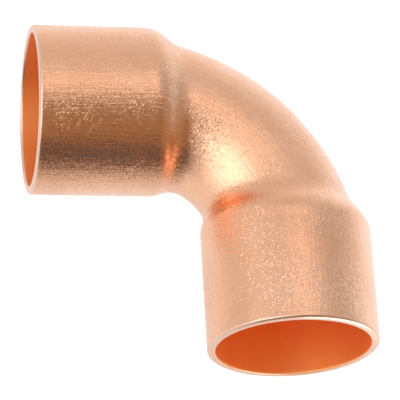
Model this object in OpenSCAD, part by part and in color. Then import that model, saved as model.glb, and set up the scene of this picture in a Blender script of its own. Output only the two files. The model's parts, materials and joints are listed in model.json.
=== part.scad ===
// Copper 90 degree long-turn elbow with a solder socket at each end, for 5/8 in (nominal 1/2 in) tube.
// It is one length of tube, bent and then expanded at both ends, so it is a single piece.
// Frame: the origin is the centre of socket A's mouth, which faces -X. Socket B's mouth faces -Y.
// The elbow lies flat, with both socket axes in the plane Z = 0.

/* [Sockets] */
// Bore of each socket, for tube of 15.875 mm outside diameter
socket_bore_d = 15.98; // [15.93:0.01:16.03]
// Length of the straight part of each socket, from its mouth
socket_length = 11.2; // [10.5:0.1:12]
// Distance from each mouth to the point where the two socket axes cross
centre_to_mouth = 26.2; // [26:0.1:29]

/* [Wall] */
// Thickness of the wall, the same all the way through
wall = 0.86; // [0.7:0.01:1]
// Radius of the rounding on the outer edge of each mouth
mouth_round = 0.4; // [0.2:0.05:0.5]
// Width of the chamfer on the inner edge of each mouth
mouth_chamfer = 0.12; // [0.05:0.01:0.2]

/* [Bend] */
// Clear bore through the bend
bend_bore_d = 12.7; // [12:0.1:13]

/* [Shoulders] */
// Angle between each socket's axis and its shoulder's axis
shoulder_tilt = 15.5; // [14:0.5:17]
// Angle of ball surface left between the shoulder's axis tilt and its rounding
ball_angle = 4.5; // [3:0.5:8]
// Outer radius of the rounding where each socket ends
round_r = 2.7; // [2:0.1:3.5]
// Outer radius of the hollow where each shoulder runs into the bend
hollow_r = 4.3; // [3.5:0.1:4.5]

/* [Hidden] */
$fn = 96;
elbow_angle = 90;
bore_r = socket_bore_d / 2;
socket_r = bore_r + wall;
bend_r = bend_bore_d / 2 + wall;
// A cut runs this far past the face that it opens.
overrun = 1;
// Surfaces that would only touch are lapped by this much, so that they cross cleanly.
lap = 0.03;
// The bend runs this angle into each shoulder.
bend_overlap = 8;

// The shoulder turns about its own tilted axis, and its section is a ball, a rounding and a hollow.
// The ball is centred where the straight socket ends, and it is as wide as the socket.
ball_end = shoulder_tilt + ball_angle;
round_x = (socket_r - round_r) * sin(ball_end);
round_y = (socket_r - round_r) * cos(ball_end);
hollow_y = bend_r + hollow_r - lap;
steepest = acos((hollow_y - round_y) / (round_r + hollow_r));
shoulder_length = round_x + (round_r + hollow_r) * sin(steepest);

// The bend's centreline leaves each shoulder along its axis, which settles the bend's centre and radius.
crossing_to_ball = centre_to_mouth - socket_length;
crossing_to_bend_centre = (crossing_to_ball * cos(shoulder_tilt) - shoulder_length)
    / (cos(shoulder_tilt) - sin(shoulder_tilt));
bend_radius = crossing_to_bend_centre * (sin(shoulder_tilt) + cos(shoulder_tilt))
    - crossing_to_ball * sin(shoulder_tilt);

// Half section of the shoulder along +X from the ball's centre, with its surface moved inwards by inset.
module shoulder_section(inset) {
    ball_r = socket_r + lap - inset;
    turn_r = round_r + 2 * lap - inset;
    intersection() {
        circle(ball_r);
        translate([-ball_r, 0]) square([ball_r + ball_r * sin(ball_end), ball_r]);
    }
    translate([round_x, round_y]) circle(turn_r);
    difference() {
        square([shoulder_length, round_y + (round_r - inset) * cos(steepest)]);
        translate([shoulder_length, hollow_y]) circle(hollow_r + inset);
    }
}

// Half section of the straight socket's outside, with the mouth's edge rounded.
module socket_section() {
    square([socket_length, socket_r - mouth_round]);
    translate([mouth_round, 0]) square([socket_length - mouth_round, socket_r]);
    translate([mouth_round, socket_r - mouth_round]) circle(mouth_round);
}

// Half section of the straight socket's bore, run past the mouth and chamfered there.
module bore_section() {
    translate([-overrun, 0]) square([socket_length + overrun, bore_r]);
    polygon([
        [-overrun, 0],
        [-overrun, bore_r + mouth_chamfer + overrun],
        [mouth_chamfer, bore_r],
        [mouth_chamfer, 0]
    ]);
}

// Turns a half section, drawn along +X, about the X axis.
module about_x() {
    rotate([0, 90, 0]) rotate_extrude() rotate(90) mirror([0, 1]) children();
}

// The shoulder's solid in its place behind socket A.
module shoulder(inset) {
    translate([socket_length, 0, 0]) rotate(-shoulder_tilt) about_x() shoulder_section(inset);
}

// Repeats socket A's parts at socket B, mirrored across the line that halves the elbow.
module at_both_ends() {
    children();
    translate([centre_to_mouth, -centre_to_mouth, 0]) mirror([1, 0, 0]) rotate(90) children();
}

// The curved tube between the two shoulders.
module bend(radius) {
    translate([centre_to_mouth - crossing_to_bend_centre, -crossing_to_bend_centre, 0])
        rotate(shoulder_tilt - bend_overlap)
            rotate_extrude(angle = elbow_angle - 2 * (shoulder_tilt - bend_overlap))
                translate([bend_radius, 0]) circle(radius);
}

module outside() {
    at_both_ends() {
        about_x() socket_section();
        shoulder(0);
    }
    bend(bend_r);
}

module waterway() {
    at_both_ends() {
        about_x() bore_section();
        shoulder(wall);
    }
    bend(bend_r - wall);
}

module elbow() {
    color("#c87850") difference() {
        outside();
        waterway();
    }
}

elbow();
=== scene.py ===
"""A copper solder elbow on a white sweep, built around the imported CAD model. Lengths are in metres."""
import json
import math

import bpy
import numpy as np
from mathutils import Matrix, Vector


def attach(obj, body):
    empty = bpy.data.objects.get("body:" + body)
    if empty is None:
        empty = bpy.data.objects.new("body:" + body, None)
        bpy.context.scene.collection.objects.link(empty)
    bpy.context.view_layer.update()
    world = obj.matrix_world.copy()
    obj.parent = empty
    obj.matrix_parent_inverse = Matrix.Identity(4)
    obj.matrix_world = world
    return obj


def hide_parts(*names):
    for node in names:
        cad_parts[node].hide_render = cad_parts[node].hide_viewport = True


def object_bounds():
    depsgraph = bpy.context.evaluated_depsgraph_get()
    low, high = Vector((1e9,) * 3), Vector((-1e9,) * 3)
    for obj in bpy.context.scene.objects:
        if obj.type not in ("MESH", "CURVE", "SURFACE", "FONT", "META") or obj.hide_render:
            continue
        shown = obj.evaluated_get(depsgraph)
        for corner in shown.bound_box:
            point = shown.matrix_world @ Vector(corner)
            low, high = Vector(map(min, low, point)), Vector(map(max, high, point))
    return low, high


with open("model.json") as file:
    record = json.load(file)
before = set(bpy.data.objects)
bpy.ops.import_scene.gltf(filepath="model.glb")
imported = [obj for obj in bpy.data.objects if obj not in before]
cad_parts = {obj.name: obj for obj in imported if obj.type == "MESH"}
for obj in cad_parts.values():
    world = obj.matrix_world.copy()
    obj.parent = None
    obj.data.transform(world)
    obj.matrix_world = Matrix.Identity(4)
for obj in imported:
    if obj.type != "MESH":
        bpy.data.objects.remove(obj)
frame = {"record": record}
cad_low, cad_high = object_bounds()

MM = 0.001
MOUNTS = {m["name"]: m for m in frame["record"]["mounts"]}
BORE_R = MOUNTS["socket_a"]["dims"]["r_mm"] * MM
REACH = MOUNTS["socket_b"]["pos_m"][0]  # from each mouth to the crossing of the two socket axes

# The drawn tube. The bend's centreline is tangent to both socket axes.
WALL = 0.86 * MM
SOCKET_R = BORE_R + WALL
BEND_R = 7.15 * MM
BEND_FLARE = 0.30 * MM  # how much wider the bend is where it meets a shoulder
FLARE_REACH = 8.7 * MM
BEND_LINE_R = 15.5 * MM
SOCKET_LEN = 12.1 * MM
SHOULDER_LEN = 4.6 * MM
SHOULDER_END_R = 6.5 * MM
THROAT_FILLET = 3.3 * MM
THROAT_BULGE = 0.8 * MM  # how much later the shoulder starts on the inside of the bend

# Handling marks: distance from mouth A and angle from the bend's inside, then length, width, slant
# to the tube's length and depth. Millimetres and degrees.
NICKS = [
    (3.8, 57, 0.8, 0.26, 75, 0.07),
    (4.5, 61, 0.7, 0.24, 110, 0.06),
    (5.2, 54, 1.0, 0.26, 60, 0.07),
    (5.9, 58, 0.6, 0.24, 55, 0.06),
    (8.4, 50, 0.5, 0.26, 90, 0.04),
    (10.6, 38, 0.6, 0.28, 20, 0.04),
    (16.9, 146, 0.5, 0.40, 0, 0.05),
    (24.0, 163, 0.5, 0.36, 30, 0.04),
    (34.5, 112, 0.5, 0.30, 40, 0.04),
    (41.6, 118, 0.4, 0.30, 0, 0.04),
    (36.2, 164, 0.9, 0.30, 10, 0.04),
]
RIPPLE = 0.008 * MM  # drawn flats along the tube

# The turned mouth.
LIP_DEPTH = 0.30 * MM
LIP_WIDTH = 0.38 * MM
DEBURR = 0.10 * MM

# Fineness of the mesh.
OUTSIDE_STEP = 0.15 * MM
BORE_EVERY = 4  # the bore keeps every fourth ring
AROUND = 240
SMOOTH_PASSES = 6
SEARCH_FROM, SEARCH_TO, SEARCH_STEPS = 0.6, 1.25, 261  # of the socket's radius, in socket_reach

# How far the grain's crystals tilt the surface: all of them a little, and a few far enough to glint.
CRYSTAL_TILT = 0.035
GLINT_TILT = 9.5

# Material slots.
OUTSIDE, LIP, BORE = 0, 1, 2

# Brightness of the white tent seen from the elbow: sine of the elevation, then light.
SKY_EDGE, SKY_LIGHT = 0.05, 0.74
FLOOR_EDGE, FLOOR_LIGHT = -0.5, 1.0
DIMMEST = 0.12
FLOOR_GLOW = 0.75
BOUNCES = 24
WHITE = (1.0, 1.0, 1.0)
WARM = (1.2, 1.0, 0.85)
COOL = (0.7, 1.0, 1.3)
# Soft lights, and gaps in the tent where the light is negative: azimuth, elevation, radius of the even
# core and of the whole glow in degrees, light and tint. They were rounded by hand from values that were
# partly fitted to the reference photograph's colours by a separate script.
GLOWS = [
    (-110, 50, 10, 30, 1.25, WHITE),  # key, upper part
    (-110, 20, 5, 30, 0.95, WHITE),  # key, lower part
    (10, 80, 5, 20, 0.35, WARM),  # overhead
    (35, 70, 5, 15, 0.25, WARM),  # overhead, beside it
    (-60, 30, 5, 20, 0.15, WARM),  # left fill
    (60, -25, 10, 60, 0.25, COOL),  # from below, at the back right
    (10, -5, 10, 40, 0.10, WHITE),  # low at the back
    (150, 20, 20, 70, -0.45, COOL),  # open front: dim, and warm because it takes more blue away
    (-170, 0, 10, 40, -0.40, WHITE),  # open front, lower left
    (165, -35, 5, 35, -0.20, WHITE),  # below the front
    (165, 60, 5, 30, -0.10, WHITE),  # above the front
    (75, 30, 5, 30, -0.20, WHITE),  # right
    (110, 70, 5, 30, -0.15, WHITE),  # high on the right
]
FLOOR_HALF = 600 * MM
CARD_SIZE = (16 * MM, 11 * MM)
CARD_LIGHT = 4.6
CARD_AT = Vector((REACH + 10 * MM, -REACH - 15 * MM, -2 * MM))
CARD_TARGET = Vector((REACH - 3 * MM, -REACH + 3 * MM, 0))

# The view of the reference photograph, rounded from a fit to its outline. The lens and sensor are in
# real millimetres and the angles in degrees.
CAMERA_LENS = 256
SENSOR_WIDTH = 36
CAMERA_AZIMUTH = -155.5
CAMERA_ELEVATION = 64.5
CAMERA_ROLL = 23.3
CAMERA_DISTANCE = 300 * MM
CAMERA_AIM = Vector((18.4, -7.8, -4.9)) * MM

LEAD = REACH - BEND_LINE_R
ARC_LEN = BEND_LINE_R * math.pi / 2
PATH_LEN = 2 * LEAD + ARC_LEN


# ---------------------------------------------------------------- shape of the tube

def centreline(s):
    """Points, tangents and directions to the bend's centre at distances s from socket A's mouth."""
    turn = np.clip((s - LEAD) / BEND_LINE_R, 0, math.pi / 2)
    before = np.minimum(s - LEAD, 0)
    after = np.maximum(s - LEAD - ARC_LEN, 0)
    x = LEAD + BEND_LINE_R * np.sin(turn) + before
    y = -BEND_LINE_R + BEND_LINE_R * np.cos(turn) - after
    zero = np.zeros_like(s)
    along = np.stack([np.cos(turn), -np.sin(turn), zero], -1)
    inward = np.stack([-np.sin(turn), -np.cos(turn), zero], -1)
    return np.stack([x, y, zero], -1), along, inward


def shoulder_radius(x):
    """Radius of socket A's outside at x, easing down past the end of its straight part."""
    ease = 0.5 - 0.5 * np.cos(math.pi * np.clip((x - SOCKET_LEN) / SHOULDER_LEN, 0, 1))
    r = SOCKET_R - (SOCKET_R - SHOULDER_END_R) * ease
    return np.where(x > SOCKET_LEN + SHOULDER_LEN, -1.0, r)


def socket_reach(s, phi):
    """How far socket A's outside reaches from the centreline, in the ring at s and towards phi."""
    centre, _, inward = centreline(s)
    tries = np.linspace(SEARCH_FROM, SEARCH_TO, SEARCH_STEPS) * SOCKET_R
    best = np.zeros((len(s), len(phi)))
    for rho in tries:
        x = centre[:, None, 0] + rho * np.cos(phi)[None] * inward[:, None, 0]
        y = centre[:, None, 1] + rho * np.cos(phi)[None] * inward[:, None, 1]
        z = rho * np.sin(phi)[None]
        radius = np.maximum(np.hypot(y, z), 1e-9)
        later = THROAT_BULGE * np.clip(-y / radius, 0, 1) ** 2
        inside = radius <= shoulder_radius(x - later)
        best = np.where(inside, rho, best)
    straight = s <= LEAD
    best[straight] = shoulder_radius(s[straight])[:, None]
    return best


def rolled_closed(rho, spacing, ball):
    """Fills the hollows of each row of rho that a ball of that radius can't enter."""
    gap = spacing[:, :, None] - spacing[:, None, :]
    cap = np.where(np.abs(gap) <= ball, np.sqrt(np.maximum(ball**2 - gap**2, 0)), -1.0)
    raised = (rho[:, None, :] + cap).max(2)
    lowered = raised[:, None, :] - np.where(np.abs(gap) <= ball, cap, -1.0)
    return lowered.min(2)


def smoothed(rho, passes):
    """Averages neighbouring rings, which takes out the steps of the search in socket_reach."""
    for _ in range(passes):
        rho[1:-1] = 0.25 * rho[:-2] + 0.5 * rho[1:-1] + 0.25 * rho[2:]
    return rho


def bend_radius(s):
    """Radius of the bend's outside at s, which grows towards both shoulders."""
    off = np.minimum(np.abs(s - PATH_LEN / 2) / FLARE_REACH, 1.2)
    return BEND_R + BEND_FLARE * off**2


def tube_radii(s, phi):
    """Distance from the centreline to the outside, for every ring and angle."""
    near = socket_reach(s, phi)
    rho = np.maximum(np.maximum(near, near[::-1]), bend_radius(s)[:, None])
    in_bend = (s > LEAD) & (s < LEAD + ARC_LEN)
    stretch = np.where(in_bend[None], 1 - BEND_R * np.cos(phi)[:, None] / BEND_LINE_R, 1.0)
    spacing = np.cumsum(stretch * np.gradient(s)[None], axis=1)
    half = len(phi) // 2 + 1
    closed = np.empty_like(rho.T)
    for i in range(half):
        closed[i] = rolled_closed(rho.T[i:i + 1], spacing[i:i + 1], THROAT_FILLET)[0]
    for i in range(half, len(phi)):
        closed[i] = closed[len(phi) - i]
    return smoothed(closed.T.copy(), SMOOTH_PASSES)


def handling_marks(s, phi):
    """Depth of the nicks and of the faint drawn flats below the clean surface."""
    depth = RIPPLE * (1 + 0.5 * np.cos(9 * phi + 1.0) + 0.5 * np.cos(14 * phi + 2.0))
    depth = np.tile(depth, (len(s), 1))
    for place, angle, length, width, slant, deep in NICKS:
        along = (s / MM - place)[:, None]
        swing = (phi - math.radians(angle) + math.pi) % (2 * math.pi) - math.pi
        around = (SOCKET_R / MM * swing)[None]
        cos, sin = math.cos(math.radians(slant)), math.sin(math.radians(slant))
        lengthwise = (along * cos + around * sin) / (0.5 * length)
        across = (around * cos - along * sin) / (0.5 * width)
        depth += deep * MM * np.exp(-lengthwise**2 - across**2)
    return depth


def grid_normals(points):
    """Outward normals of a grid of points that closes on itself around the tube."""
    around = np.roll(points, -1, axis=1) - np.roll(points, 1, axis=1)
    along = np.gradient(points, axis=0)
    normal = np.cross(along, around)
    return normal / np.linalg.norm(normal, axis=2, keepdims=True)


def lip_profile():
    """The mouth's section from outside to bore, as depth from the mouth's plane and radius."""
    turns = np.linspace(0, math.pi / 2, 7)[1:]
    outer = [(LIP_DEPTH * (1 - math.sin(a)), SOCKET_R - LIP_WIDTH * (1 - math.cos(a))) for a in turns]
    face = [(0.0, r) for r in np.linspace(SOCKET_R - LIP_WIDTH, BORE_R + DEBURR, 4)[1:]]
    inner = [(DEBURR * t, BORE_R + DEBURR * (1 - t) ** 2) for t in (0.25, 0.5, 0.75)]
    return outer + face + inner


def ring_positions():
    """Ring distances along the centreline, from just behind one lip to just behind the other."""
    count = int(round((PATH_LEN - 2 * LIP_DEPTH) / OUTSIDE_STEP)) + 1
    return np.linspace(LIP_DEPTH, PATH_LEN - LIP_DEPTH, count)


def lip_rings(phi, far):
    """Rings of points for one lip, from outside to bore."""
    rings = []
    for depth, radius in lip_profile():
        s = np.array([PATH_LEN - depth if far else depth])
        centre, _, inward = centreline(s)
        out = np.cos(phi)[:, None] * inward[0] + np.sin(phi)[:, None] * np.array([0, 0, 1.0])
        rings.append(centre[0] + radius * out)
    return rings


def tube_rings(phi):
    """Rings of points once round the wall, with each ring's place along the tube and its material."""
    s = ring_positions()
    centre, _, inward = centreline(s)
    out = (np.cos(phi)[None, :, None] * inward[:, None]
           + np.sin(phi)[None, :, None] * np.array([0, 0, 1.0]))
    clean = centre[:, None] + tube_radii(s, phi)[..., None] * out
    outside = clean - handling_marks(s, phi)[..., None] * out
    bore = clean - WALL * grid_normals(clean)
    keep = np.unique(np.append(np.arange(0, len(s), BORE_EVERY), len(s) - 1))[::-1]
    lip = len(lip_profile())
    rings = np.concatenate([outside, lip_rings(phi, True), bore[keep], lip_rings(phi, False)[::-1]])
    place = np.concatenate([s, np.full(lip, PATH_LEN), s[keep], np.zeros(lip)])
    slots = [OUTSIDE] * (len(s) - 1) + [LIP] * lip + [BORE] * len(keep) + [LIP] * (lip + 1)
    return rings, place, slots


def elbow_mesh():
    """The closed tube wall: outside, far lip, bore, near lip."""
    phi = np.arange(AROUND) * 2 * math.pi / AROUND
    rings, place, slots = tube_rings(phi)
    count = len(rings)
    i, j = np.meshgrid(np.arange(count), np.arange(AROUND), indexing="ij")
    here, ahead = i * AROUND, (i + 1) % count * AROUND
    turned = (j + 1) % AROUND
    faces = np.stack([here + j, ahead + j, ahead + turned, here + turned], -1).reshape(-1, 4)
    mesh = bpy.data.meshes.new("copper_elbow")
    mesh.from_pydata(rings.reshape(-1, 3).tolist(), [], faces.tolist())
    mesh.shade_smooth()
    mesh.polygons.foreach_set("material_index", np.repeat(slots, AROUND).astype(np.int32))
    store_tube_coordinates(mesh, phi, place)
    return mesh


def store_tube_coordinates(mesh, phi, place):
    """Keeps each point's place on the straightened tube, so that grain and streaks follow the bend."""
    coords = np.empty((len(place), len(phi), 3))
    coords[..., 0] = np.cos(phi)[None] * BEND_R
    coords[..., 1] = np.sin(phi)[None] * BEND_R
    coords[..., 2] = place[:, None]
    layer = mesh.attributes.new("tube", "FLOAT_VECTOR", "POINT")
    layer.data.foreach_set("vector", coords.reshape(-1))


def build_elbow():
    obj = bpy.data.objects.new("copper_elbow", elbow_mesh())
    bpy.context.scene.collection.objects.link(obj)
    for make in (outside_copper, lip_copper, bore_copper):
        obj.data.materials.append(make())
    return obj


# ---------------------------------------------------------------- materials

class Nodes:
    """Short calls for building a node tree."""

    def __init__(self, tree):
        self.tree = tree

    def add(self, kind, inputs=None, **settings):
        node = self.tree.nodes.new(kind)
        for name, value in settings.items():
            setattr(node, name, value)
        for name, value in (inputs or {}).items():
            if isinstance(value, bpy.types.NodeSocket):
                self.tree.links.new(value, node.inputs[name])
            else:
                node.inputs[name].default_value = value
        return node

    def math(self, operation, a, b=0.0):
        return self.add("ShaderNodeMath", {0: a, 1: b}, operation=operation).outputs[0]

    def ramp(self, value, low, high, out_low=0.0, out_high=1.0):
        """Eases from out_low to out_high as the value goes from low to high."""
        inputs = {"Value": value, "From Min": low, "From Max": high, "To Min": out_low, "To Max": out_high}
        return self.add("ShaderNodeMapRange", inputs, interpolation_type="SMOOTHSTEP").outputs[0]

    def tint(self, factor, a, b):
        return self.add("ShaderNodeMix", {0: factor, 6: (*a, 1), 7: (*b, 1)}, data_type="RGBA").outputs[2]

    def noise(self, vector, around, along, detail=2.0, roughness=0.5):
        """Noise whose marks measure around by along, in metres."""
        scale = (1 / around, 1 / around, 1 / along)
        where = self.add("ShaderNodeVectorMath", {0: vector, 1: scale}, operation="MULTIPLY").outputs[0]
        inputs = {"Vector": where, "Scale": 1.0, "Detail": detail, "Roughness": roughness}
        return self.add("ShaderNodeTexNoise", inputs).outputs["Fac"]

    def vector(self, operation, a, b=(0.0, 0.0, 0.0)):
        return self.add("ShaderNodeVectorMath", {0: a, 1: b}, operation=operation).outputs[0]

    def crystals(self, where, size, amount):
        """A small random tilt for each crystal of that size. A few lean far enough to glint."""
        cells = self.add("ShaderNodeTexVoronoi", {"Vector": where, "Scale": 1 / size})
        lean = self.vector("SUBTRACT", cells.outputs["Color"], (0.5, 0.5, 0.5))
        square = self.vector("MULTIPLY", lean, lean)
        rare = self.vector("MULTIPLY", self.vector("MULTIPLY", square, square), lean)
        small = self.vector("MULTIPLY", lean, (CRYSTAL_TILT,) * 3)
        large = self.vector("MULTIPLY", rare, (GLINT_TILT,) * 3)
        return self.vector("MULTIPLY", self.vector("ADD", small, large), amount)


def copper_material(name):
    """An empty copper: the helper, the shader and the tube coordinates."""
    mat = bpy.data.materials.new(name)
    mat.use_nodes = True
    n = Nodes(mat.node_tree)
    shader = mat.node_tree.nodes["Principled BSDF"]
    shader.inputs["Metallic"].default_value = 1.0
    tube = n.add("ShaderNodeAttribute", attribute_name="tube").outputs["Vector"]
    return mat, n, shader, tube


def outside_copper():
    """Drawn copper: streaks along the tube, crystal grain that glints, and cloudy tint."""
    mat, n, shader, tube = copper_material("drawn_copper")
    cloud = n.noise(tube, 5 * MM, 7 * MM, 3.0)
    streak = n.noise(tube, 0.16 * MM, 4 * MM, 3.0, 0.6)
    fine_streak = n.noise(tube, 0.07 * MM, 1.2 * MM, 2.0)
    grain = n.noise(tube, 0.20 * MM, 0.24 * MM, 2.0, 0.7)
    patch = n.ramp(n.noise(tube, 3.5 * MM, 5 * MM, 2.0), 0.35, 0.68, 0.45, 0.95)
    base = n.tint(n.ramp(cloud, 0.3, 0.7), (0.94, 0.535, 0.35), (0.90, 0.485, 0.30))
    mat.node_tree.links.new(base, shader.inputs["Base Color"])
    rough = n.ramp(n.math("ADD", streak, n.math("MULTIPLY", cloud, 0.6)), 0.5, 1.1, 0.14, 0.28)
    mat.node_tree.links.new(rough, shader.inputs["Roughness"])
    lines = n.math("ADD", n.math("MULTIPLY", streak, 3.0), fine_streak)
    drawn = n.add("ShaderNodeBump", {"Height": lines, "Strength": 1.0, "Distance": 0.012 * MM})
    speck = n.math("MULTIPLY", grain, patch)
    bump = n.add("ShaderNodeBump", {"Height": speck, "Strength": 1.0, "Distance": 0.011 * MM,
                                    "Normal": drawn.outputs[0]})
    crystals = n.crystals(tube, 0.10 * MM, patch)
    tilted = n.vector("NORMALIZE", n.vector("ADD", bump.outputs[0], crystals))
    mat.node_tree.links.new(tilted, shader.inputs["Normal"])
    return mat


def lip_copper():
    """The mouths' turned faces: paler, with a fine random chatter."""
    mat, n, shader, tube = copper_material("turned_copper")
    cloud = n.noise(tube, 2 * MM, 2 * MM, 2.0)
    base = n.tint(n.ramp(cloud, 0.3, 0.7), (0.90, 0.60, 0.46), (0.86, 0.55, 0.41))
    mat.node_tree.links.new(base, shader.inputs["Base Color"])
    where = n.add("ShaderNodeTexCoord").outputs["Object"]
    chatter = n.noise(where, 0.08 * MM, 0.08 * MM, 2.0)
    mat.node_tree.links.new(n.ramp(chatter, 0.3, 0.7, 0.26, 0.40), shader.inputs["Roughness"])
    bump = n.add("ShaderNodeBump", {"Height": chatter, "Strength": 1.0, "Distance": 0.003 * MM})
    mat.node_tree.links.new(bump.outputs[0], shader.inputs["Normal"])
    return mat


def bore_copper():
    """The bore: copper with a painted deeper orange that stands in for light bounced inside it, duller
    than the outside.
    """
    mat, n, shader, tube = copper_material("bore_copper")
    cloud = n.noise(tube, 4 * MM, 6 * MM, 3.0)
    streak = n.noise(tube, 0.3 * MM, 5 * MM, 2.0)
    # Painted bounce light: this base is a deeper, brighter orange than the outside copper, standing in for
    # light bounced around inside the bore.
    base = n.tint(n.ramp(cloud, 0.3, 0.7), (0.99, 0.48, 0.17), (0.96, 0.43, 0.12))
    mat.node_tree.links.new(base, shader.inputs["Base Color"])
    mat.node_tree.links.new(n.ramp(cloud, 0.3, 0.7, 0.50, 0.60), shader.inputs["Roughness"])
    bump = n.add("ShaderNodeBump", {"Height": streak, "Strength": 1.0, "Distance": 0.004 * MM})
    mat.node_tree.links.new(bump.outputs[0], shader.inputs["Normal"])
    return mat


# ---------------------------------------------------------------- studio

def direction(azimuth, elevation):
    """Unit vector towards an azimuth (0 is +Y, 90 is +X) and an elevation, in degrees."""
    a, e = math.radians(azimuth), math.radians(elevation)
    return (math.sin(a) * math.cos(e), math.cos(a) * math.cos(e), math.sin(e))


def add_world():
    """A white tent: soft boxes on the left and overhead, and the dim room beyond its open front."""
    world = bpy.data.worlds.new("studio")
    bpy.context.scene.world = world
    world.use_nodes = True
    n = Nodes(world.node_tree)
    ray = n.add("ShaderNodeTexCoord").outputs["Generated"]
    height = n.add("ShaderNodeSeparateXYZ", {0: ray}).outputs["Z"]
    total = n.ramp(height, SKY_EDGE, FLOOR_EDGE, SKY_LIGHT, FLOOR_LIGHT)
    for azimuth, elevation, core, reach, light, tint in GLOWS:
        dot = n.add("ShaderNodeVectorMath", {0: ray, 1: direction(azimuth, elevation)},
                    operation="DOT_PRODUCT").outputs["Value"]
        edge, middle = math.cos(math.radians(reach)), math.cos(math.radians(core))
        glow = n.ramp(dot, edge, middle)
        colour = tuple(light * part for part in tint)
        lit = {0: glow, 1: colour, 2: total}
        total = n.add("ShaderNodeVectorMath", lit, operation="MULTIPLY_ADD").outputs[0]
    total = n.add("ShaderNodeVectorMath", {0: total, 1: (DIMMEST,) * 3}, operation="MAXIMUM").outputs[0]
    back = world.node_tree.nodes["Background"]
    world.node_tree.links.new(total, back.inputs["Color"])


def add_floor():
    """A lit white sheet. Mirror-like rays pass it, because the world already holds its light."""
    mesh = bpy.data.meshes.new("sweep")
    x, y, _ = (cad_low + cad_high) / 2
    z = cad_low.z
    corners = [(x - FLOOR_HALF, y - FLOOR_HALF, z), (x + FLOOR_HALF, y - FLOOR_HALF, z),
               (x + FLOOR_HALF, y + FLOOR_HALF, z), (x - FLOOR_HALF, y + FLOOR_HALF, z)]
    mesh.from_pydata(corners, [], [(0, 1, 2, 3)])
    floor = bpy.data.objects.new("sweep", mesh)
    bpy.context.scene.collection.objects.link(floor)
    floor.visible_glossy = False
    mat = bpy.data.materials.new("white_sheet")
    mat.use_nodes = True
    shader = mat.node_tree.nodes["Principled BSDF"]
    shader.inputs["Base Color"].default_value = (0.8, 0.8, 0.8, 1)
    shader.inputs["Roughness"].default_value = 0.9
    shader.inputs["Specular IOR Level"].default_value = 0.0
    shader.inputs["Emission Color"].default_value = (1, 1, 1, 1)
    shader.inputs["Emission Strength"].default_value = FLOOR_GLOW
    mesh.materials.append(mat)


# ---------------------------------------------------------------- camera

def add_camera():
    """A long lens that looks down from the front left, rolled until socket A lies level."""
    data = bpy.data.cameras.new("camera")
    data.lens = CAMERA_LENS
    data.sensor_width = SENSOR_WIDTH
    data.clip_start = 0.01
    cam = bpy.data.objects.new("camera", data)
    back = Vector(direction(CAMERA_AZIMUTH, CAMERA_ELEVATION))
    level = Vector((0, 0, 1)).cross(back).normalized()
    right = Matrix.Rotation(math.radians(CAMERA_ROLL), 3, back) @ level
    turn = Matrix((right, back.cross(right), back)).transposed().to_4x4()
    cam.matrix_world = Matrix.Translation(CAMERA_AIM + back * CAMERA_DISTANCE) @ turn
    bpy.context.scene.collection.objects.link(cam)
    bpy.context.scene.camera = cam


def add_mouth_card():
    """A small lit card before mouth B, which sends light into the bore."""
    light = bpy.data.lights.new("mouth_card", "AREA")
    light.shape = "RECTANGLE"
    light.size, light.size_y = CARD_SIZE
    light.energy = CARD_LIGHT * math.pi * light.size * light.size_y
    obj = bpy.data.objects.new("mouth_card", light)
    obj.location = CARD_AT
    obj.rotation_euler = (CARD_TARGET - CARD_AT).to_track_quat("-Z", "Y").to_euler()
    obj.visible_camera = False
    bpy.context.scene.collection.objects.link(obj)


def set_render():
    """Enough bounces for the bore's deep orange, and plain colours."""
    scene = bpy.context.scene
    scene.cycles.max_bounces = BOUNCES
    scene.cycles.glossy_bounces = BOUNCES
    scene.view_settings.view_transform = "Standard"


add_camera()
add_world()
add_floor()
add_mouth_card()
set_render()
elbow = build_elbow()
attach(elbow, "root")
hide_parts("elbow")
